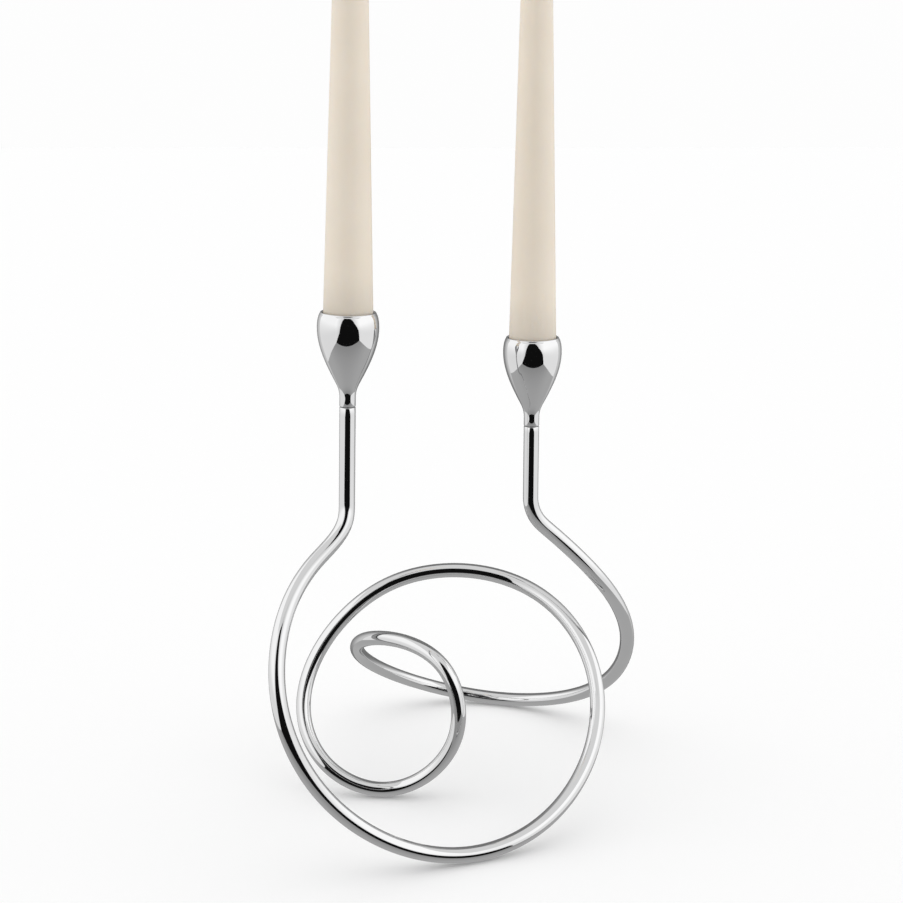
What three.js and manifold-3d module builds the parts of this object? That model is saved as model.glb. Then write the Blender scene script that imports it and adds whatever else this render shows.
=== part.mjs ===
// Double candle holder. One round polished rod is bent into an open spiral that stands on
// three of its own curves. A tulip cup is screwed to each upturned end and holds a taper
// candle. Millimetres, +Z up, origin on the table under the middle of the whole object.

import * as THREE from 'three';
import { mergeVertices } from 'three/addons/utils/BufferGeometryUtils.js';
import Module from 'manifold-3d';

// Rod
const ROD_DIAMETER = 7;
const ROD_SIDES = 16;
const ROD_STEPS = 226;
const ON_TABLE = ROD_DIAMETER / 2;

// Spiral of the rod, along its centreline: half its width, half its depth, and its rise
// from the feet to the straight part of the left stem
const HALF_WIDTH = 81;
const HALF_DEPTH = 96;
const RISE = 151.5;

// Stems: the foot of the straight part in shares of those three (to the right, to the back,
// up), the length of the straight part, and its lean to +X
const LEFT_STEM = { place: [-0.649, -0.494, 1], straight: 43, leanDegrees: 1.3 };
const RIGHT_STEM = { place: [0.364, -0.083, 0.947], straight: 33.5, leanDegrees: 0 };

// Centreline of the bends, from the left stem to the right one, in the same shares
const BENDS = [
  [-0.654, -0.51, 0.96],
  [-0.815, -0.625, 0.848], // shoulder of the left arm
  [-0.975, -0.818, 0.693],
  [-0.988, -0.943, 0.548], // left sweep, leaning forward
  [-0.679, -0.969, 0.185],
  [0.043, -0.812, 0],      // front foot
  [0.346, -0.698, 0.03],
  [0.753, -0.255, 0.267],  // right side of the big loop, rising to the back
  [0.741, -0.109, 0.386],
  [0.42, 0.182, 0.581],
  [-0.302, 0.281, 0.62],   // top of the big loop
  [-0.556, 0.24, 0.568],
  [-0.969, 0.01, 0.201],   // its left side, coming forward and down
  [-0.827, -0.12, 0.073],
  [-0.494, -0.161, 0],     // middle foot, under the small loop
  [-0.062, -0.203, 0.195], // right side of the small loop
  [-0.13, -0.161, 0.409],
  [-0.543, 0.156, 0.432],  // curl over the small loop
  [-0.679, 0.443, 0.33],
  [-0.321, 0.979, 0.066],
  [0.204, 0.995, 0],       // back foot
  [0.772, 0.729, 0.092],
  [0.926, 0.552, 0.195],
  [0.988, 0.276, 0.403],   // rightmost turn
  [0.802, 0.021, 0.647],
  [0.475, -0.057, 0.835],  // shoulder of the right arm
  [0.395, -0.078, 0.884],
];

// Candle and wick
const CANDLE_DIAMETER = 21.2;
const CANDLE_TIP_DIAMETER = 11;
const CANDLE_ABOVE_CUP = 212;
const CANDLE_SHOULDER = 7;
const WICK_DIAMETER = 1.6;
const WICK_ABOVE_CANDLE = 12;
const WICK_HOLE_DEPTH = 5;
const WICK_CURL = 2.2;

// Cup: wall over the socket, outer swell, heights from the seam with the rod
const CUP_HEIGHT = 40.8;
const LIP_WALL = 1;
const BELLY_SWELL = 1.25;
const BELLY_BELOW_LIP = 6.8;
const NECK_LENGTH = 5.5;
const FLARE_LENGTH = 7.7;
const FLARE_SWELL = 2.4;
const SOCKET_DEPTH = 12.3;
const SEAT_DEPTH = 8;
const SEAT_FLOOR_DIAMETER = 12;
const ROUND_SIDES = 36;

// Headless stud that joins each cup to the rod
const STUD_DIAMETER = 4;
const STUD_LENGTH = 14;
const STUD_CHAMFER = 0.5;

// Gaps between pieces that touch on the real object
const SEAM = 0.3;
const STUD_CLEARANCE = 0.3;
const CANDLE_CLEARANCE = 0.35;
const WICK_CLEARANCE = 0.3;

const neckRadius = ROD_DIAMETER / 2;
const socketRadius = CANDLE_DIAMETER / 2 + CANDLE_CLEARANCE;
const lipRadius = socketRadius + LIP_WALL;
const bellyRadius = lipRadius + BELLY_SWELL;
const studHoleRadius = STUD_DIAMETER / 2 + STUD_CLEARANCE;
const studHoleDepth = STUD_LENGTH / 2 + STUD_CLEARANCE;
const seatTop = CUP_HEIGHT - SOCKET_DEPTH;

const chrome = (name) => Object.assign(
  new THREE.MeshStandardMaterial({ color: 0xdcdcdc, roughness: 0.04, metalness: 1 }), { name });
const zincPlate = () => new THREE.MeshStandardMaterial(
  { color: 0xb9bcc0, roughness: 0.35, metalness: 1 });
const wax = () => new THREE.MeshStandardMaterial({ color: 0xe4d9c6, roughness: 0.45 });
const cotton = () => new THREE.MeshStandardMaterial({ color: 0xf2eee2, roughness: 0.95 });

const wasm = await Module();
wasm.setup();

// A smooth curve through given points: a cubic spline whose ends keep given directions and
// whose bending has no jump at any point.
class BentCurve extends THREE.Curve {
  constructor(points, startDirection, endDirection) {
    super();
    this.points = points;
    this.spans = points.slice(1).map((point, i) => point.distanceTo(points[i]));
    this.slopes = this.solveSlopes(startDirection, endDirection);
    this.total = this.spans.reduce((sum, span) => sum + span, 0);
  }

  // Each inner slope balances its neighbours; a few dozen passes settle them all.
  solveSlopes(startDirection, endDirection) {
    const { points, spans } = this;
    const slopes = points.map(() => new THREE.Vector3());
    slopes[0].copy(startDirection);
    slopes[slopes.length - 1].copy(endDirection);
    for (let pass = 0; pass < 80; pass++) {
      for (let i = 1; i < points.length - 1; i++) {
        const before = 1 / spans[i - 1];
        const after = 1 / spans[i];
        slopes[i].set(0, 0, 0)
          .addScaledVector(points[i].clone().sub(points[i - 1]), 3 * before * before)
          .addScaledVector(points[i + 1].clone().sub(points[i]), 3 * after * after)
          .addScaledVector(slopes[i - 1], -before)
          .addScaledVector(slopes[i + 1], -after)
          .divideScalar(2 * (before + after));
      }
    }
    return slopes;
  }

  getPoint(t, target = new THREE.Vector3()) {
    let along = t * this.total;
    let i = 0;
    while (i < this.spans.length - 1 && along > this.spans[i]) {
      along -= this.spans[i];
      i++;
    }
    const span = this.spans[i];
    const s = Math.min(along / span, 1);
    return target.set(0, 0, 0)
      .addScaledVector(this.points[i], (1 + 2 * s) * (1 - s) ** 2)
      .addScaledVector(this.points[i + 1], s * s * (3 - 2 * s))
      .addScaledVector(this.slopes[i], span * s * (1 - s) ** 2)
      .addScaledVector(this.slopes[i + 1], span * s * s * (s - 1));
  }
}

function station([right, back, up]) {
  return new THREE.Vector3(right * HALF_WIDTH, back * HALF_DEPTH, ON_TABLE + up * RISE);
}

function stemLine(stem) {
  const up = new THREE.Vector3(Math.tan(THREE.MathUtils.degToRad(stem.leanDegrees)), 0, 1);
  const foot = station(stem.place);
  const top = foot.clone().addScaledVector(up, stem.straight);
  return { foot, top, up: up.clone().normalize() };
}

const leftStem = stemLine(LEFT_STEM);
const rightStem = stemLine(RIGHT_STEM);

// Left stem from the cup down, the bends, then the right stem up to its cup
function rodCentreline() {
  const path = new THREE.CurvePath();
  path.add(new THREE.LineCurve3(leftStem.top, leftStem.foot));
  path.add(new BentCurve(
    [leftStem.foot, ...BENDS.map(station), rightStem.foot],
    leftStem.up.clone().negate(), rightStem.up));
  path.add(new THREE.LineCurve3(rightStem.foot, rightStem.top));
  return path;
}

function circle(radius, sides) {
  const corners = [];
  for (let i = 0; i < sides; i++) {
    const angle = (i / sides) * 2 * Math.PI;
    corners.push(new THREE.Vector2(radius * Math.cos(angle), radius * Math.sin(angle)));
  }
  return new THREE.Shape(corners);
}

function tube(path, radius, sides, steps) {
  return new THREE.ExtrudeGeometry(
    circle(radius, sides), { steps, extrudePath: path, bevelEnabled: false });
}

// Turned piece: the outline is drawn as radius and height
function turned(outline, sides = ROUND_SIDES) {
  return new THREE.LatheGeometry(outline, sides).rotateX(Math.PI / 2);
}

function toSolid(geometry) {
  const bare = geometry.clone();
  bare.deleteAttribute('normal');
  bare.deleteAttribute('uv');
  const welded = mergeVertices(bare);
  return new wasm.Manifold(new wasm.Mesh({
    numProp: 3,
    vertProperties: welded.attributes.position.array,
    triVerts: Uint32Array.from(welded.index.array),
  }));
}

function toGeometry(solid) {
  const mesh = solid.getMesh();
  const geometry = new THREE.BufferGeometry();
  geometry.setAttribute('position', new THREE.BufferAttribute(mesh.vertProperties, 3));
  geometry.setIndex(new THREE.BufferAttribute(mesh.triVerts, 1));
  geometry.computeVertexNormals();
  return geometry;
}

// Tapped hole down the axis of a stem, open at the seam
function stemHole(stem) {
  const overshoot = 1;
  const hole = new THREE.CylinderGeometry(
    studHoleRadius, studHoleRadius, studHoleDepth + overshoot, ROD_SIDES);
  hole.translate(0, (overshoot - studHoleDepth) / 2, 0);
  hole.applyQuaternion(
    new THREE.Quaternion().setFromUnitVectors(new THREE.Vector3(0, 1, 0), stem.up));
  hole.translate(...stem.top.toArray());
  return toSolid(hole);
}

function bentRod() {
  const bar = toSolid(tube(rodCentreline(), ROD_DIAMETER / 2, ROD_SIDES, ROD_STEPS));
  return toGeometry(bar.subtract(stemHole(leftStem)).subtract(stemHole(rightStem)));
}

function stud() {
  const r = STUD_DIAMETER / 2;
  const half = STUD_LENGTH / 2;
  return turned([
    new THREE.Vector2(0, -half),
    new THREE.Vector2(r - STUD_CHAMFER, -half),
    new THREE.Vector2(r, STUD_CHAMFER - half),
    new THREE.Vector2(r, half - STUD_CHAMFER),
    new THREE.Vector2(r - STUD_CHAMFER, half),
    new THREE.Vector2(0, half),
  ], ROD_SIDES);
}

// Tulip cup: narrow neck, soft flare, swelling bowl, drawn-in rounded lip; inside, a
// straight socket over a conical seat
function cup() {
  const flareTop = NECK_LENGTH + FLARE_LENGTH;
  const flareRadius = neckRadius + FLARE_SWELL;
  const bellyHeight = CUP_HEIGHT - BELLY_BELOW_LIP;
  const bowlHeight = bellyHeight - flareTop;
  const lipBend = LIP_WALL / 2;
  const skin = new THREE.Path();
  skin.moveTo(neckRadius, 0);
  skin.lineTo(neckRadius, NECK_LENGTH);
  skin.bezierCurveTo(
    neckRadius, NECK_LENGTH + 0.45 * FLARE_LENGTH,
    flareRadius - 0.55 * FLARE_SWELL, flareTop - 0.34 * FLARE_LENGTH,
    flareRadius, flareTop);
  skin.bezierCurveTo(
    flareRadius + 0.55 * (bellyRadius - flareRadius), flareTop + 0.375 * bowlHeight,
    bellyRadius, bellyHeight - 0.31 * bowlHeight,
    bellyRadius, bellyHeight);
  skin.bezierCurveTo(
    bellyRadius, bellyHeight + 0.4 * BELLY_BELOW_LIP,
    lipRadius + 0.7 * BELLY_SWELL, CUP_HEIGHT - 0.27 * BELLY_BELOW_LIP,
    lipRadius, CUP_HEIGHT - lipBend);
  skin.absarc(socketRadius + lipBend, CUP_HEIGHT - lipBend, lipBend, 0, Math.PI);
  const socket = [
    new THREE.Vector2(socketRadius, seatTop),
    new THREE.Vector2(SEAT_FLOOR_DIAMETER / 2, seatTop - SEAT_DEPTH),
    new THREE.Vector2(0, seatTop - SEAT_DEPTH),
  ];
  const hole = [
    new THREE.Vector2(0, studHoleDepth - SEAM),
    new THREE.Vector2(studHoleRadius, studHoleDepth - SEAM),
    new THREE.Vector2(studHoleRadius, 0),
  ];
  return turned([...hole, ...skin.getPoints(6), ...socket]);
}

// Taper candle, drawn from the cup's seam: its foot is bevelled to the seat's slope
function candle() {
  const radius = CANDLE_DIAMETER / 2;
  const tipRadius = CANDLE_TIP_DIAMETER / 2;
  const seatSlope = (socketRadius - SEAT_FLOOR_DIAMETER / 2) / SEAT_DEPTH;
  const bevel = 0.55 * SEAT_DEPTH;
  const top = CUP_HEIGHT + CANDLE_ABOVE_CUP;
  const holeRadius = WICK_DIAMETER / 2 + WICK_CLEARANCE;
  const outline = new THREE.Path();
  outline.moveTo(0, seatTop - bevel);
  outline.lineTo(radius - bevel * seatSlope, seatTop - bevel);
  outline.lineTo(radius, seatTop);
  outline.lineTo(radius, CUP_HEIGHT);
  outline.lineTo(tipRadius, top - CANDLE_SHOULDER);
  outline.quadraticCurveTo(0.9 * tipRadius, top - 0.25 * CANDLE_SHOULDER, holeRadius, top);
  outline.lineTo(holeRadius, top - WICK_HOLE_DEPTH);
  outline.lineTo(0, top - WICK_HOLE_DEPTH);
  return turned(outline.getPoints(4));
}

function wick() {
  const top = CUP_HEIGHT + CANDLE_ABOVE_CUP;
  const curve = new THREE.CatmullRomCurve3([
    new THREE.Vector3(0, 0, top - WICK_HOLE_DEPTH + WICK_CLEARANCE),
    new THREE.Vector3(0, 0, top),
    new THREE.Vector3(0.2 * WICK_CURL, 0, top + 0.6 * WICK_ABOVE_CANDLE),
    new THREE.Vector3(WICK_CURL, 0, top + WICK_ABOVE_CANDLE),
  ]);
  return tube(curve, WICK_DIAMETER / 2, 8, 12);
}

const group = new THREE.Group();
const holder = new THREE.Group();
group.add(holder);

function addPiece(parent, name, geometry, material) {
  const piece = new THREE.Mesh(geometry, material);
  piece.name = name;
  parent.add(piece);
  return piece;
}

// Stud, cup, candle and wick stand on the end of a stem, in line with it
function addArm(side, stem) {
  const arm = new THREE.Group();
  arm.position.copy(stem.top);
  arm.quaternion.setFromUnitVectors(new THREE.Vector3(0, 0, 1), stem.up);
  addPiece(arm, `${side}_stud`, stud(), zincPlate());
  addPiece(arm, `${side}_cup`, cup(), chrome('cup chrome')).position.z = SEAM;
  addPiece(arm, `${side}_candle`, candle(), wax()).position.z = SEAM;
  addPiece(arm, `${side}_wick`, wick(), cotton()).position.z = SEAM;
  holder.add(arm);
}

addPiece(holder, 'bent_rod', bentRod(), chrome('rod chrome'));
addArm('left', leftStem);
addArm('right', rightStem);

// Stand the lowest curve on the table, with the middle of the whole over the origin
const whole = new THREE.Box3().setFromObject(holder, true);
holder.position.set(
  -(whole.min.x + whole.max.x) / 2, -(whole.min.y + whole.max.y) / 2, -whole.min.z);

export default group;
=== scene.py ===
"""Double candle holder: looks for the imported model.

A polished rod bent into an open spiral carries two tulip cups with ivory taper candles.
Rod, cups, candles, wicks and studs are built here finer than the CAD solids, on the same
axes. Their sizes are the same too, but for the cups' fuller flare. They stand in a light
tent whose front is open.
"""

import math

import bmesh
import bpy
from mathutils import Matrix, Vector


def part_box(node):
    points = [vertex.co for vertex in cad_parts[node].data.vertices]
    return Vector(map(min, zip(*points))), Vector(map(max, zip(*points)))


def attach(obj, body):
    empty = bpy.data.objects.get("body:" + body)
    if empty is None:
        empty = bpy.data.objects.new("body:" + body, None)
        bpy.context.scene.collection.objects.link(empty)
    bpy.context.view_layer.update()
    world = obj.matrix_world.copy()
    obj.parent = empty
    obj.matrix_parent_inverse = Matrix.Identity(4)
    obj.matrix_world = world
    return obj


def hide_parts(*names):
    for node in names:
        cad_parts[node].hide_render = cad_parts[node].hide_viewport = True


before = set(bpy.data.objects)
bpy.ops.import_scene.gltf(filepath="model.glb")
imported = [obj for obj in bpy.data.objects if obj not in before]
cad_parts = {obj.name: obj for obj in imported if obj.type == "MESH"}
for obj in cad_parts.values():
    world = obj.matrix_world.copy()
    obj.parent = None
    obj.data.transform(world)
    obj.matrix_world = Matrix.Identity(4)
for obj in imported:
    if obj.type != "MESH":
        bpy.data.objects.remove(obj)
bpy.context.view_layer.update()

MM = 0.001


# Sizes
def node_box(node):
    """Lowest and highest corner of a CAD node, in millimetres."""
    low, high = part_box(node)
    return low / MM, high / MM


cup_low, cup_high = node_box("right_cup")
candle_low, candle_high = node_box("right_candle")
wick_low, wick_high = node_box("right_wick")
stud_low, stud_high = node_box("right_stud")

ROD_RADIUS = 3.5
SEAM = 0.3

# Along the rod's centreline: half its width, half its depth, and its rise from the feet
# to the straight part of the left stem
HALF_WIDTH = 81.0
HALF_DEPTH = 96.0
RISE = 151.5


def station(right, back, up):
    """A point of the centreline, given in shares of those three."""
    return Vector((right * HALF_WIDTH, back * HALF_DEPTH, ROD_RADIUS + up * RISE))


# Each stem: its foot, how far it runs straight, and its lean to the right in degrees
LEFT_STEM = {"foot": station(-0.649, -0.494, 1.0), "straight": 43.0, "lean": 1.3}
RIGHT_STEM = {"foot": station(0.364, -0.083, 0.947), "straight": 33.5, "lean": 0.0}

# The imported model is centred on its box, so it stands a little off the stations
cup_middle = (cup_low + cup_high) / 2
right_seam = Vector((cup_middle.x, cup_middle.y, cup_low.z - SEAM))
MODEL_SHIFT = right_seam - RIGHT_STEM["foot"] - Vector((0, 0, RIGHT_STEM["straight"]))

CUP_HEIGHT = cup_high.z - cup_low.z
BELLY_RADIUS = (cup_high.x - cup_low.x) / 2
CANDLE_RADIUS = (candle_high.x - candle_low.x) / 2
CANDLE_FOOT = candle_low.z - cup_low.z
CANDLE_TOP = candle_high.z - cup_low.z
WICK_FOOT = wick_low.z - cup_low.z
WICK_TOP = wick_high.z - cup_low.z
WICK_RADIUS = (wick_high.y - wick_low.y) / 2
STUD_RADIUS = (stud_high.x - stud_low.x) / 2
STUD_LENGTH = stud_high.z - stud_low.z

LIP_WALL = 1.0
CANDLE_CLEARANCE = 0.35
STUD_CLEARANCE = 0.3
SOCKET_RADIUS = CANDLE_RADIUS + CANDLE_CLEARANCE
LIP_RADIUS = SOCKET_RADIUS + LIP_WALL
BELLY_BELOW_LIP = 6.8
SOCKET_DEPTH = 12.3
SEAT_DEPTH = 8.0
SEAT_FLOOR_RADIUS = 6.0
CANDLE_TIP_RADIUS = 5.5
CANDLE_SHOULDER = 7.0
# How far above the cup's rim the painted shade on the candles reaches, in millimetres
CANDLE_SHADE = 20.0
SEAT_ROUNDING = 0.8
FOOT_ROUNDING = 0.9
WICK_HOLE_CLEARANCE = 0.25
STUD_HOLE_RADIUS = STUD_RADIUS + STUD_CLEARANCE
STUD_HOLE_DEPTH = STUD_LENGTH / 2 + STUD_CLEARANCE
ROD_CHAMFER = 0.3

# The neck is shorter here than in the CAD solids and the flare over it fuller, by up to
# 0.9 mm, as the photograph shows them
NECK_LENGTH = 3.7
FLARE_LENGTH = 7.9
FLARE_SWELL = 2.4

# Smallest break of an edge, and fineness of the meshes
EDGE = 0.1
ROD_STEP = 0.9
ROD_SIDES = 48
CUP_SIDES = 144
CANDLE_SIDES = 96

# Centreline of the bends, from the left stem to the right one, in the same shares
BENDS = [
    station(-0.654, -0.51, 0.96),
    station(-0.815, -0.625, 0.848),  # shoulder of the left arm
    station(-0.975, -0.818, 0.693),
    station(-0.988, -0.943, 0.548),  # left sweep, leaning forward
    station(-0.679, -0.969, 0.185),
    station(0.043, -0.812, 0.0),  # front foot
    station(0.346, -0.698, 0.03),
    station(0.753, -0.255, 0.267),  # right side of the big loop, rising to the back
    station(0.741, -0.109, 0.386),
    station(0.42, 0.182, 0.581),
    station(-0.302, 0.281, 0.62),  # top of the big loop
    station(-0.556, 0.24, 0.568),
    station(-0.969, 0.01, 0.201),  # its left side, coming forward and down
    station(-0.827, -0.12, 0.073),
    station(-0.494, -0.161, 0.0),  # middle foot, under the small loop
    station(-0.062, -0.203, 0.195),  # right side of the small loop
    station(-0.13, -0.161, 0.409),
    station(-0.543, 0.156, 0.432),  # curl over the small loop
    station(-0.679, 0.443, 0.33),
    station(-0.321, 0.979, 0.066),
    station(0.204, 0.995, 0.0),  # back foot
    station(0.772, 0.729, 0.092),
    station(0.926, 0.552, 0.195),
    station(0.988, 0.276, 0.403),  # rightmost turn
    station(0.802, 0.021, 0.647),
    station(0.475, -0.057, 0.835),  # shoulder of the right arm
    station(0.395, -0.078, 0.884),
]


# Shader writing
class Wire:
    """The output of a shader node. Its sums and products are Math nodes."""

    def __init__(self, graph, socket):
        self.graph = graph
        self.socket = socket

    def math(self, operation, *others):
        values = dict(enumerate((self, *others)))
        return self.graph.add("ShaderNodeMath", {"operation": operation}, values)

    def __add__(self, other):
        return self.math("ADD", other)

    def __mul__(self, other):
        return self.math("MULTIPLY", other)

    def __radd__(self, other):
        return self + other

    def __rmul__(self, other):
        return self * other

    def __rsub__(self, other):
        return self * -1.0 + other


class Graph:
    """The node tree of one material or of the world."""

    def __init__(self, owner):
        owner.use_nodes = True
        self.tree = owner.node_tree
        self.tree.nodes.clear()

    def add(self, kind, settings=None, values=None, out=0):
        """Any node: its type, its settings, then values or wires for its sockets."""
        node = self.tree.nodes.new(kind)
        for name, setting in (settings or {}).items():
            setattr(node, name, setting)
        for name, value in (values or {}).items():
            if isinstance(value, Wire):
                self.tree.links.new(value.socket, node.inputs[name])
            else:
                node.inputs[name].default_value = value
        return Wire(self, node.outputs[out])

    def ease(self, value, start, end):
        """0 below start, 1 above end and smooth between, or the other way round."""
        settings = {"interpolation_type": "SMOOTHSTEP"}
        return self.add(
            "ShaderNodeMapRange", settings, {0: value, "From Min": start, "From Max": end}
        )

    def mix(self, share, first, second):
        """first where share is 0 and second where it is 1, as colours."""
        settings = {"data_type": "RGBA"}
        return self.add("ShaderNodeMix", settings, {0: share, 6: first, 7: second}, 2)

    def noise(self, place, scale, detail=3.0, roughness=0.5):
        values = {"Vector": place, "Scale": scale, "Detail": detail, "Roughness": roughness}
        return self.add("ShaderNodeTexNoise", None, values)

    def bump(self, height, distance, strength=1.0):
        values = {"Height": height, "Distance": distance, "Strength": strength}
        return self.add("ShaderNodeBump", None, values)

    def finish(self, shader, kind):
        node = self.tree.nodes.new(kind)
        self.tree.links.new(shader.socket, node.inputs["Surface"])


def grey(level):
    return (level, level, level, 1.0)


def material(name, make):
    made = bpy.data.materials.new(name)
    graph = Graph(made)
    place = graph.add("ShaderNodeTexCoord", None, None, "Object")
    graph.finish(make(graph, place), "ShaderNodeOutputMaterial")
    return made


# Materials
def polished_chrome(graph, place):
    """Mirror plating: faint polishing haze and a trace of handling."""
    haze = graph.noise(place, 90.0, 4.0, 0.6)
    handling = graph.noise(place, 18.0, 2.0)
    ripple = graph.noise(place, 260.0, 2.0)
    return graph.add(
        "ShaderNodeBsdfPrincipled",
        None,
        {
            "Base Color": graph.mix(haze, (0.70, 0.70, 0.705, 1.0), (0.74, 0.74, 0.74, 1.0)),
            "Metallic": 1.0,
            "Roughness": 0.015 + 0.03 * haze + 0.02 * handling,
            "Normal": graph.bump(ripple, 0.000004),
        },
    )


def candle_wax(graph, place):
    """Ivory wax: cloudy, softly shining, and a little darker where it comes near the cup:
    painted shade.
    """
    sizing = graph.add("ShaderNodeTexCoord", None, None, "Generated")
    along = graph.add("ShaderNodeSeparateXYZ", None, {"Vector": sizing}, "Z")
    length = CANDLE_TOP - CANDLE_FOOT
    rim = (CUP_HEIGHT - CANDLE_FOOT) / length
    # Painted shade: the wax darkens over the last CANDLE_SHADE millimetres down to the cup's
    # rim
    shaded = graph.ease(along, rim + CANDLE_SHADE / length, rim)
    cloud = graph.noise(place, 45.0, 4.0, 0.6)
    ivory = graph.mix(cloud, (0.785, 0.70, 0.585, 1.0), (0.845, 0.765, 0.655, 1.0))
    # Colour of the painted shade: the same ivory, a little darker
    painted_shade = graph.mix(cloud, (0.665, 0.595, 0.50, 1.0), (0.715, 0.65, 0.56, 1.0))
    speck = graph.noise(place, 900.0, 2.0)
    unevenness = graph.noise(place, 60.0, 3.0)
    return graph.add(
        "ShaderNodeBsdfPrincipled",
        None,
        {
            "Base Color": graph.mix(shaded, ivory, painted_shade),
            "Roughness": 0.38 + 0.12 * cloud + 0.05 * speck,
            "IOR": 1.44,
            "Subsurface Weight": 0.25,
            "Subsurface Radius": (1.0, 0.7, 0.4),
            "Subsurface Scale": 0.004,
            "Normal": graph.bump(unevenness + 0.15 * speck, 0.00025, 0.5),
        },
    )


def waxed_cotton(graph, place):
    """Cotton yarn stiffened by wax: fine fibres over a soft mottle."""
    fibre = graph.noise(place, 4200.0, 3.0, 0.7)
    mottle = graph.noise(place, 700.0, 2.0)
    return graph.add(
        "ShaderNodeBsdfPrincipled",
        None,
        {
            "Base Color": graph.mix(mottle, (0.74, 0.69, 0.58, 1.0), (0.88, 0.85, 0.77, 1.0)),
            "Roughness": 0.75 + 0.2 * fibre,
            "Normal": graph.bump(fibre, 0.00008, 0.6),
        },
    )


def zinc_plate(graph, place):
    """Bright zinc on the hidden studs, slightly cloudy."""
    cloud = graph.noise(place, 500.0, 3.0)
    return graph.add(
        "ShaderNodeBsdfPrincipled",
        None,
        {
            "Base Color": graph.mix(cloud, (0.47, 0.49, 0.51, 1.0), (0.56, 0.57, 0.58, 1.0)),
            "Metallic": 1.0,
            "Roughness": 0.28 + 0.15 * cloud,
            "Normal": graph.bump(cloud, 0.00001),
        },
    )


ROD_CHROME = material("rod_chrome", polished_chrome)
CUP_CHROME = material("cup_chrome", polished_chrome)
CANDLE_WAX = material("candle_wax", candle_wax)
WICK_COTTON = material("wick_cotton", waxed_cotton)
STUD_ZINC = material("stud_zinc", zinc_plate)


# Mesh tools
def make_piece(name, points, faces, surface, body, stands_for):
    """A smooth mesh piece from millimetre points, riding on a CAD body."""
    mesh = bpy.data.meshes.new(name)
    mesh.from_pydata([tuple((p + MODEL_SHIFT) * MM) for p in points], [], faces)
    shape = bmesh.new()
    shape.from_mesh(mesh)
    bmesh.ops.recalc_face_normals(shape, faces=shape.faces)
    shape.to_mesh(mesh)
    shape.free()
    mesh.shade_smooth()
    mesh.materials.append(surface)
    piece = bpy.data.objects.new(name, mesh)
    bpy.context.scene.collection.objects.link(piece)
    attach(piece, body)
    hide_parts(*stands_for)


def skin_rings(rings):
    """Faces between neighbouring rings of equal size, with a fan over each end."""
    points = [p for ring in rings for p in ring]
    count = len(rings[0])
    faces = []
    for i in range(len(rings) - 1):
        for j in range(count):
            k = (j + 1) % count
            faces.append(
                (i * count + j, i * count + k, (i + 1) * count + k, (i + 1) * count + j)
            )
    for ring, start in ((rings[0], 0), (rings[-1], (len(rings) - 1) * count)):
        middle = len(points)
        points.append(sum(ring, Vector()) / count)
        faces += [(start + j, start + (j + 1) % count, middle) for j in range(count)]
    return points, faces


def turned_rings(outline, sides):
    """Rings of a turned shape: outline is a list of radius and height."""
    rings = []
    for radius, height in outline:
        ring = []
        for j in range(sides):
            angle = 2 * math.pi * j / sides
            ring.append(Vector((radius * math.cos(angle), radius * math.sin(angle), height)))
        rings.append(ring)
    return rings


def curve_between(start, first, second, end, steps):
    """Points of a cubic curve after its start, as radius and height."""
    made = []
    for i in range(1, steps + 1):
        t = i / steps
        weights = ((1 - t) ** 3, 3 * t * (1 - t) ** 2, 3 * t * t * (1 - t), t**3)
        corners = (start, first, second, end)
        made.append(
            (
                sum(w * c[0] for w, c in zip(weights, corners)),
                sum(w * c[1] for w, c in zip(weights, corners)),
            )
        )
    return made


def rounded(outline, reach):
    """The outline with each inner corner rounded off by up to reach."""
    steps = 4
    made = [outline[0]]
    for before, corner, after in zip(outline, outline[1:], outline[2:]):
        c = Vector(corner)
        to_before = Vector(before) - c
        to_after = Vector(after) - c
        cut = min(reach, to_before.length / 2.5, to_after.length / 2.5)
        start = c + to_before.normalized() * cut
        end = c + to_after.normalized() * cut
        for i in range(steps + 1):
            t = i / steps
            made.append(tuple((1 - t) ** 2 * start + 2 * t * (1 - t) * c + t * t * end))
    made.append(outline[-1])
    return made


def arm_place(stem):
    """Places a shape drawn on the seam's centre onto the end of a stem."""
    lean = math.radians(stem["lean"])
    top = stem["foot"] + Vector((math.tan(lean), 0, 1)) * stem["straight"]
    return Matrix.Translation(top) @ Matrix.Rotation(lean, 4, "Y")


def stem_ends(stem):
    place = arm_place(stem)
    up = (place.to_3x3() @ Vector((0, 0, 1))).normalized()
    return stem["foot"], place.to_translation(), up


# Rod
def bend_slopes(stations, start_slope, end_slope):
    """Slopes of the smooth curve through the stations, bending without a jump."""
    spans = [(b - a).length for a, b in zip(stations, stations[1:])]
    slopes = [Vector() for _ in stations]
    slopes[0], slopes[-1] = start_slope, end_slope
    rounds = 80
    for _ in range(rounds):
        for i in range(1, len(stations) - 1):
            before, after = 1 / spans[i - 1], 1 / spans[i]
            pull = (
                3 * before**2 * (stations[i] - stations[i - 1])
                + 3 * after**2 * (stations[i + 1] - stations[i])
                - before * slopes[i - 1]
                - after * slopes[i + 1]
            )
            slopes[i] = pull / (2 * (before + after))
    return spans, slopes


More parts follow.
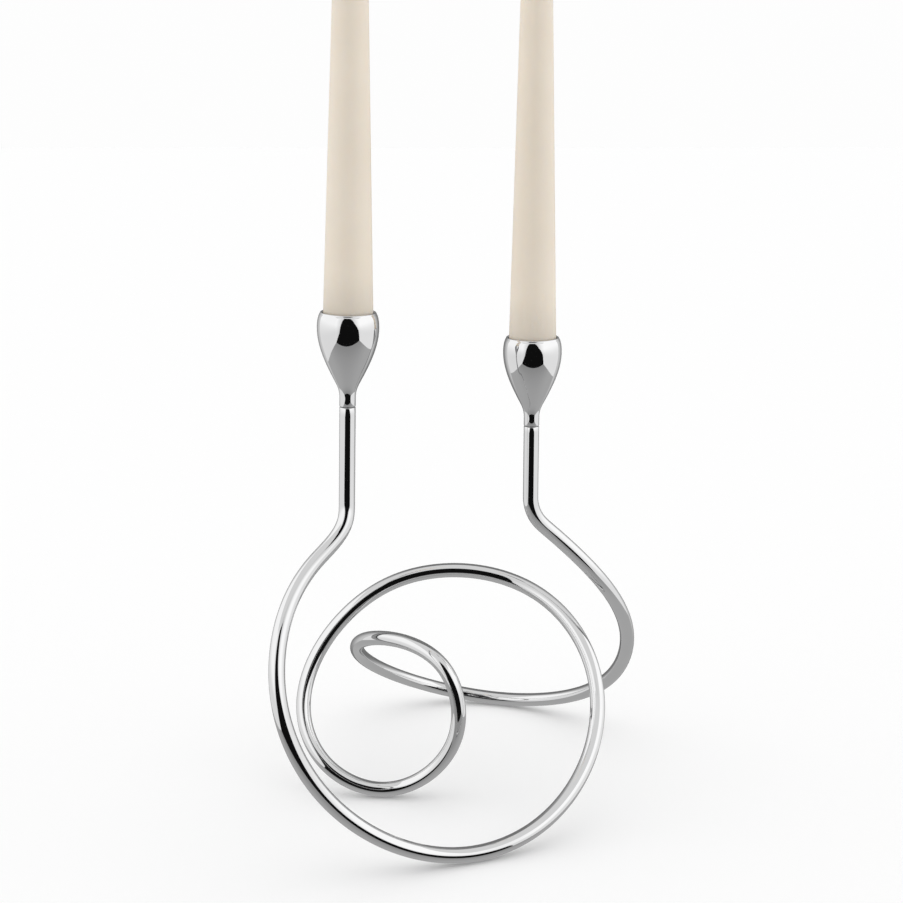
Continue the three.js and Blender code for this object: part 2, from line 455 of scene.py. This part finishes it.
def rod_centreline(step):
    """Points and directions along the rod, from the left seam to the right one."""
    left_foot, left_top, left_up = stem_ends(LEFT_STEM)
    right_foot, right_top, right_up = stem_ends(RIGHT_STEM)
    stations = [left_foot, *BENDS, right_foot]
    spans, slopes = bend_slopes(stations, -left_up, right_up)
    line = []
    stem_steps = 12
    for i in range(stem_steps):
        line.append((left_top.lerp(left_foot, i / stem_steps), -left_up))
    for i, span in enumerate(spans):
        a, b, ta, tb = stations[i], stations[i + 1], slopes[i], slopes[i + 1]
        steps = max(2, round(span / step))
        for j in range(steps):
            s = j / steps
            point = (
                (1 + 2 * s) * (1 - s) ** 2 * a
                + s * s * (3 - 2 * s) * b
                + span * s * (1 - s) ** 2 * ta
                + span * s * s * (s - 1) * tb
            )
            slope = (
                6 * s * (s - 1) / span * (a - b)
                + (1 - s) * (1 - 3 * s) * ta
                + s * (3 * s - 2) * tb
            )
            line.append((point, slope.normalized()))
    for i in range(stem_steps + 1):
        line.append((right_foot.lerp(right_top, i / stem_steps), right_up))
    return line


def tube_rings(line, radius, sides):
    """Round rings along a line, carried without twist."""
    rings = []
    side = line[0][1].orthogonal().normalized()
    previous = line[0][1]
    for point, along in line:
        side = previous.rotation_difference(along) @ side
        side = (side - along * side.dot(along)).normalized()
        across = along.cross(side)
        previous = along
        ring = []
        for j in range(sides):
            angle = 2 * math.pi * j / sides
            ring.append(point + radius * (math.cos(angle) * side + math.sin(angle) * across))
        rings.append(ring)
    return rings


def end_rings(ring, top, up):
    """The rod's end from its rim inward: small chamfer, flat face, stud hole."""
    made = []
    for radius, height in (
        (ROD_RADIUS, -ROD_CHAMFER),
        (ROD_RADIUS - EDGE, -EDGE),
        (ROD_RADIUS - ROD_CHAMFER, 0.0),
        (STUD_HOLE_RADIUS + EDGE, 0.0),
        (STUD_HOLE_RADIUS, -EDGE),
        (STUD_HOLE_RADIUS, -STUD_HOLE_DEPTH),
        (0.5 * STUD_HOLE_RADIUS, -STUD_HOLE_DEPTH),
    ):
        made.append([top + up * height + (p - top) * (radius / ROD_RADIUS) for p in ring])
    return made


def build_rod():
    line = rod_centreline(ROD_STEP)
    rings = tube_rings(line, ROD_RADIUS, ROD_SIDES)
    _, left_top, left_up = stem_ends(LEFT_STEM)
    _, right_top, right_up = stem_ends(RIGHT_STEM)
    left_end = end_rings(rings[0], left_top, left_up)
    right_end = end_rings(rings[-1], right_top, right_up)
    points, faces = skin_rings([*reversed(left_end), *rings[1:-1], *right_end])
    make_piece("polished_rod", points, faces, ROD_CHROME, "base", ["bent_rod"])


# Pieces on the arms
def cup_outline():
    """Radius and height of the tulip cup, from its stud hole round to the seat."""
    neck = ROD_RADIUS
    flare_top = NECK_LENGTH + FLARE_LENGTH
    flare = neck + FLARE_SWELL
    belly_height = CUP_HEIGHT - BELLY_BELOW_LIP
    bowl = belly_height - flare_top
    swell = BELLY_RADIUS - LIP_RADIUS
    lip_bend = LIP_WALL / 2
    skin = [
        (neck - ROD_CHAMFER, 0.0),
        (neck - EDGE, EDGE),
        (neck, ROD_CHAMFER),
        (neck, NECK_LENGTH),
    ]
    skin += curve_between(
        (neck, NECK_LENGTH),
        (neck, NECK_LENGTH + 0.45 * FLARE_LENGTH),
        (flare - 0.55 * FLARE_SWELL, flare_top - 0.32 * FLARE_LENGTH),
        (flare, flare_top),
        16,
    )
    skin += curve_between(
        (flare, flare_top),
        (flare + 0.55 * (BELLY_RADIUS - flare), flare_top + 0.34 * bowl),
        (BELLY_RADIUS, belly_height - 0.33 * bowl),
        (BELLY_RADIUS, belly_height),
        32,
    )
    skin += curve_between(
        (BELLY_RADIUS, belly_height),
        (BELLY_RADIUS, belly_height + 0.4 * BELLY_BELOW_LIP),
        (LIP_RADIUS + 0.7 * swell, CUP_HEIGHT - 0.27 * BELLY_BELOW_LIP),
        (LIP_RADIUS, CUP_HEIGHT - lip_bend),
        20,
    )
    lip_steps = 12
    for i in range(1, lip_steps + 1):
        angle = math.pi * i / lip_steps
        skin.append(
            (
                SOCKET_RADIUS + lip_bend + lip_bend * math.cos(angle),
                CUP_HEIGHT - lip_bend + lip_bend * math.sin(angle),
            )
        )
    seat_top = CUP_HEIGHT - SOCKET_DEPTH
    seat_floor = seat_top - SEAT_DEPTH
    inside = rounded(
        [
            skin[-1],
            (SOCKET_RADIUS, seat_top),
            (SEAT_FLOOR_RADIUS, seat_floor),
            (0.4, seat_floor),
        ],
        SEAT_ROUNDING,
    )
    hole_depth = STUD_HOLE_DEPTH - SEAM
    hole = [
        (0.5 * STUD_HOLE_RADIUS, hole_depth),
        (STUD_HOLE_RADIUS, hole_depth),
        (STUD_HOLE_RADIUS, EDGE),
        (STUD_HOLE_RADIUS + EDGE, 0.0),
    ]
    return [*hole, *skin, *inside[1:]]


def candle_outline():
    """Radius and height of the taper, from its bevelled foot to the wick hole."""
    seat_top = CUP_HEIGHT - SOCKET_DEPTH
    slope = (SOCKET_RADIUS - SEAT_FLOOR_RADIUS) / SEAT_DEPTH
    foot_radius = CANDLE_RADIUS - (seat_top - CANDLE_FOOT) * slope
    hole_radius = WICK_RADIUS + WICK_HOLE_CLEARANCE
    shoulder = CANDLE_TOP - CANDLE_SHOULDER
    foot = rounded(
        [
            (0.4, CANDLE_FOOT),
            (foot_radius, CANDLE_FOOT),
            (CANDLE_RADIUS, seat_top),
            (CANDLE_RADIUS, CUP_HEIGHT),
        ],
        FOOT_ROUNDING,
    )
    side = []
    side_steps = 40
    for i in range(1, side_steps + 1):
        t = i / side_steps
        radius = CANDLE_RADIUS + (CANDLE_TIP_RADIUS - CANDLE_RADIUS) * t
        side.append((radius, CUP_HEIGHT + (shoulder - CUP_HEIGHT) * t))
    tip = curve_between(
        side[-1],
        (CANDLE_TIP_RADIUS * 0.97, shoulder + 0.55 * CANDLE_SHOULDER),
        (CANDLE_TIP_RADIUS * 0.6, CANDLE_TOP - 0.2),
        (hole_radius + 0.3, CANDLE_TOP),
        14,
    )
    hole_floor = WICK_FOOT - 0.3
    hole = [(hole_radius, CANDLE_TOP - 0.3), (hole_radius, hole_floor), (0.3, hole_floor)]
    return [*foot, *side, *tip, *hole]


def build_turned(name, outline, sides, stem, surface, body, stands_for):
    place = arm_place(stem) @ Matrix.Translation((0, 0, SEAM))
    points, faces = skin_rings(turned_rings(outline, sides))
    make_piece(name, [place @ p for p in points], faces, surface, body, [stands_for])


def build_wick(name, stem, body, stands_for):
    """Three waxed yarns plaited round each other, curling over at the top."""
    place = arm_place(stem) @ Matrix.Translation((0, 0, SEAM))
    strands = 3
    yarn = WICK_RADIUS / 2
    turn = 3.4
    sway = 0.38
    cross_sway = 0.2
    curl = 2.2
    length = WICK_TOP - WICK_FOOT
    steps = 150
    sides = 10
    points = []
    faces = []
    for strand in range(strands):
        line = []
        for i in range(steps + 1):
            height = length * i / steps
            above = max(0.0, WICK_FOOT + height - CANDLE_TOP) / (WICK_TOP - CANDLE_TOP)
            phase = 2 * math.pi * (height / turn + strand / strands)
            line.append(
                Vector(
                    (
                        sway * math.sin(phase) + curl * above**2,
                        cross_sway * math.sin(2 * phase),
                        WICK_FOOT + 0.2 * yarn + 0.97 * height,
                    )
                )
            )
        pairs = []
        for i, point in enumerate(line):
            ahead = line[min(i + 1, steps)] - line[max(i - 1, 0)]
            pairs.append((point, ahead.normalized()))
        strand_points, strand_faces = skin_rings(tube_rings(pairs, yarn, sides))
        start = len(points)
        points += strand_points
        faces += [tuple(start + i for i in face) for face in strand_faces]
    make_piece(
        name, [place @ p for p in points], faces, WICK_COTTON, body, [stands_for]
    )


def build_stud(name, stem, stands_for):
    """Headless stud: a fine thread between two chamfered ends, with a hexagon socket."""
    place = arm_place(stem)
    pitch = 0.7
    depth = 0.36
    chamfer = 0.6
    socket_across = 2.0
    socket_depth = 2.5
    sides = 36
    half = STUD_LENGTH / 2
    rings_per_turn = 10
    steps = round(STUD_LENGTH / pitch * rings_per_turn)
    rings = []
    for i in range(steps + 1):
        height = -half + STUD_LENGTH * i / steps
        room = min(half - abs(height), chamfer)
        crest = STUD_RADIUS - 0.5 * (chamfer - room)
        ring = []
        for j in range(sides):
            angle = 2 * math.pi * j / sides
            phase = (height / pitch - j / sides) % 1.0
            groove = depth * abs(2 * phase - 1)
            radius = min(crest, STUD_RADIUS - groove)
            ring.append(Vector((radius * math.cos(angle), radius * math.sin(angle), height)))
        rings.append(ring)
    for height in (half, half - socket_depth):
        ring = []
        for j in range(sides):
            angle = 2 * math.pi * j / sides
            inside = (angle % (math.pi / 3)) - math.pi / 6
            radius = socket_across / 2 / math.cos(inside)
            ring.append(Vector((radius * math.cos(angle), radius * math.sin(angle), height)))
        rings.append(ring)
    points, faces = skin_rings(rings)
    make_piece(
        name, [place @ p for p in points], faces, STUD_ZINC, "base", [stands_for]
    )


build_rod()
for side, stem in (("left", LEFT_STEM), ("right", RIGHT_STEM)):
    taper = f"{side}_taper"
    build_turned(
        f"{side}_tulip_cup",
        cup_outline(),
        CUP_SIDES,
        stem,
        CUP_CHROME,
        "base",
        f"{side}_cup",
    )
    build_turned(
        f"{side}_wax_taper",
        candle_outline(),
        CANDLE_SIDES,
        stem,
        CANDLE_WAX,
        taper,
        f"{side}_candle",
    )
    build_wick(f"{side}_plaited_wick", stem, taper, f"{side}_wick")
    build_stud(f"{side}_threaded_stud", stem, f"{side}_stud")


# Studio
DAYLIGHT = 1.275
FRONT_LIGHT = 0.5
BACK_LIGHT = 0.78
BACKGROUND = 0.985

# Inside of the light tent, in millimetres from the holder's middle
TENT_LEFT = -815.0
TENT_RIGHT = 845.0
TENT_FRONT = -850.0
TENT_BACK = 475.0
TENT_FLOOR = -305.0
TENT_TOP = 1100.0

# The dark opening between its front curtains: how far inside them it is laid, and its
# corners, to the right and up
OPENING_INSIDE = 1.0
OPENING = [
    (TENT_LEFT, TENT_FLOOR),
    (TENT_RIGHT, TENT_FLOOR),
    (690.0, 90.0),
    (390.0, 410.0),
    (160.0, 940.0),
    (-220.0, 960.0),
    (-350.0, 470.0),
    (-485.0, 65.0),
]


def build_sheet(name, corners, paint):
    """A flat sheet of the studio from millimetre corners, with its own paint."""
    mesh = bpy.data.meshes.new(name)
    points = [tuple((Vector(c) + MODEL_SHIFT) * MM) for c in corners]
    mesh.from_pydata(points, [], [tuple(range(len(points)))])
    mesh.materials.append(material(name, paint))
    sheet = bpy.data.objects.new(name, mesh)
    bpy.context.scene.collection.objects.link(sheet)
    return sheet


def build_floor():
    """A wide pale floor just under the rod's feet. Metal mirrors the tent's instead."""
    reach = 6000.0
    level = -0.2

    def floor_paint(graph, place):
        values = {"Color": grey(0.945), "Roughness": 0.0}
        return graph.add("ShaderNodeBsdfDiffuse", None, values)

    around = [(-reach, -reach), (reach, -reach), (reach, reach), (-reach, reach)]
    floor = build_sheet("floor", [(*corner, level) for corner in around], floor_paint)
    floor.visible_glossy = False


def build_tent():
    """The light tent round the object, which shows in reflections only.

    It is a box of white cloth with a grey floor and a dark opening between its front
    curtains. Its floor lies well below the table, where the mirrored edges on the rod and
    on the cups place it.
    """
    low = Vector((TENT_LEFT, TENT_FRONT, TENT_FLOOR))
    high = Vector((TENT_RIGHT, TENT_BACK, TENT_TOP))
    white = grey(1.0)

    def part(graph, place, axis):
        return graph.add("ShaderNodeSeparateXYZ", None, {"Vector": place}, axis)

    def cloth(bottom, top, middle=1.0, reach=0.4):
        """Glowing cloth, from its level at the floor to that at the top.

        Its middle is dimmer or brighter by that factor, fading up to reach metres aside.
        """

        def paint(graph, place):
            rise = graph.ease(part(graph, place, "Z"), 0.0, 0.4)
            level = rise * (top - bottom) + bottom
            aside = part(graph, place, "X").math("ABSOLUTE")
            level = level * (graph.ease(aside, reach, 0.1) * (middle - 1.0) + 1.0)
            return graph.add("ShaderNodeEmission", None, {"Color": white, "Strength": level})

        return paint

    def floor_cloth(graph, place):
        away = graph.ease(part(graph, place, "Y"), TENT_FRONT * MM, 0.0)
        level = away * 0.15 + 0.33
        return graph.add("ShaderNodeEmission", None, {"Color": white, "Strength": level})

    def outside(graph, place):
        return graph.add("ShaderNodeEmission", None, {"Color": white, "Strength": 0.006})

    def wall(name, start, end, paint):
        x0, y0, x1, y1 = *start, *end
        corners = [(x0, y0, low.z), (x1, y1, low.z), (x1, y1, high.z), (x0, y0, high.z)]
        return build_sheet(name, corners, paint)

    def level_sheet(name, height, paint):
        corners = [(low.x, low.y), (high.x, low.y), (high.x, high.y), (low.x, high.y)]
        return build_sheet(name, [(*c, height) for c in corners], paint)

    opening = [(x, low.y + OPENING_INSIDE, z) for x, z in OPENING]
    sheets = [
        wall("left_cloth", (low.x, low.y), (low.x, high.y), cloth(0.94, 1.24)),
        wall("right_cloth", (high.x, low.y), (high.x, high.y), cloth(1.00, 1.32)),
        wall("back_cloth", (low.x, high.y), (high.x, high.y), cloth(0.72, 0.82, 0.27, 0.68)),
        wall("front_curtains", (low.x, low.y), (high.x, low.y), cloth(0.97, 1.28, 0.6, 0.82)),
        level_sheet("top_cloth", high.z, cloth(0.86, 0.86)),
        level_sheet("tent_floor", low.z, floor_cloth),
        build_sheet("opening", opening, outside),
    ]
    for sheet in sheets:
        for unseen in ("camera", "diffuse", "shadow", "transmission", "volume_scatter"):
            setattr(sheet, f"visible_{unseen}", False)
        sheet.data.materials[0].cycles.emission_sampling = "NONE"


def build_daylight():
    """Plain white light from all round, softer from front and back, and the background."""
    world = bpy.data.worlds.new("daylight")
    bpy.context.scene.world = world
    graph = Graph(world)
    sky = graph.add("ShaderNodeTexCoord", None, None, "Generated")
    to_back = graph.add("ShaderNodeSeparateXYZ", None, {"Vector": sky}, "Y")
    light = graph.ease(to_back, -0.1, -1.0) * (FRONT_LIGHT - DAYLIGHT) + DAYLIGHT
    light = light + graph.ease(to_back, 0.1, 1.0) * (BACK_LIGHT - DAYLIGHT)
    looked_at = 0.0
    for ray in ("Is Camera Ray", "Is Glossy Ray", "Is Transmission Ray"):
        looked_at = graph.add("ShaderNodeLightPath", None, None, ray) + looked_at
    level = light + looked_at.math("MINIMUM", 1.0) * (BACKGROUND - light)
    values = {"Color": grey(1.0), "Strength": level}
    graph.finish(graph.add("ShaderNodeBackground", None, values), "ShaderNodeOutputWorld")


def place_camera():
    """The photographer's camera, in front of the holder and looking down on it."""
    stand = Vector((-7.0, -699.5, 340.3))
    looking_down = math.radians(13.96)
    data = bpy.data.cameras.new("camera")
    data.lens = 61.99
    data.sensor_width = 36.0
    camera = bpy.data.objects.new("camera", data)
    camera.location = (stand + MODEL_SHIFT) * MM
    camera.rotation_euler = (math.pi / 2 - looking_down, 0, 0)
    bpy.context.scene.collection.objects.link(camera)
    bpy.context.scene.camera = camera


build_floor()
build_tent()
build_daylight()
place_camera()
bpy.context.scene.view_settings.view_transform = "Standard"
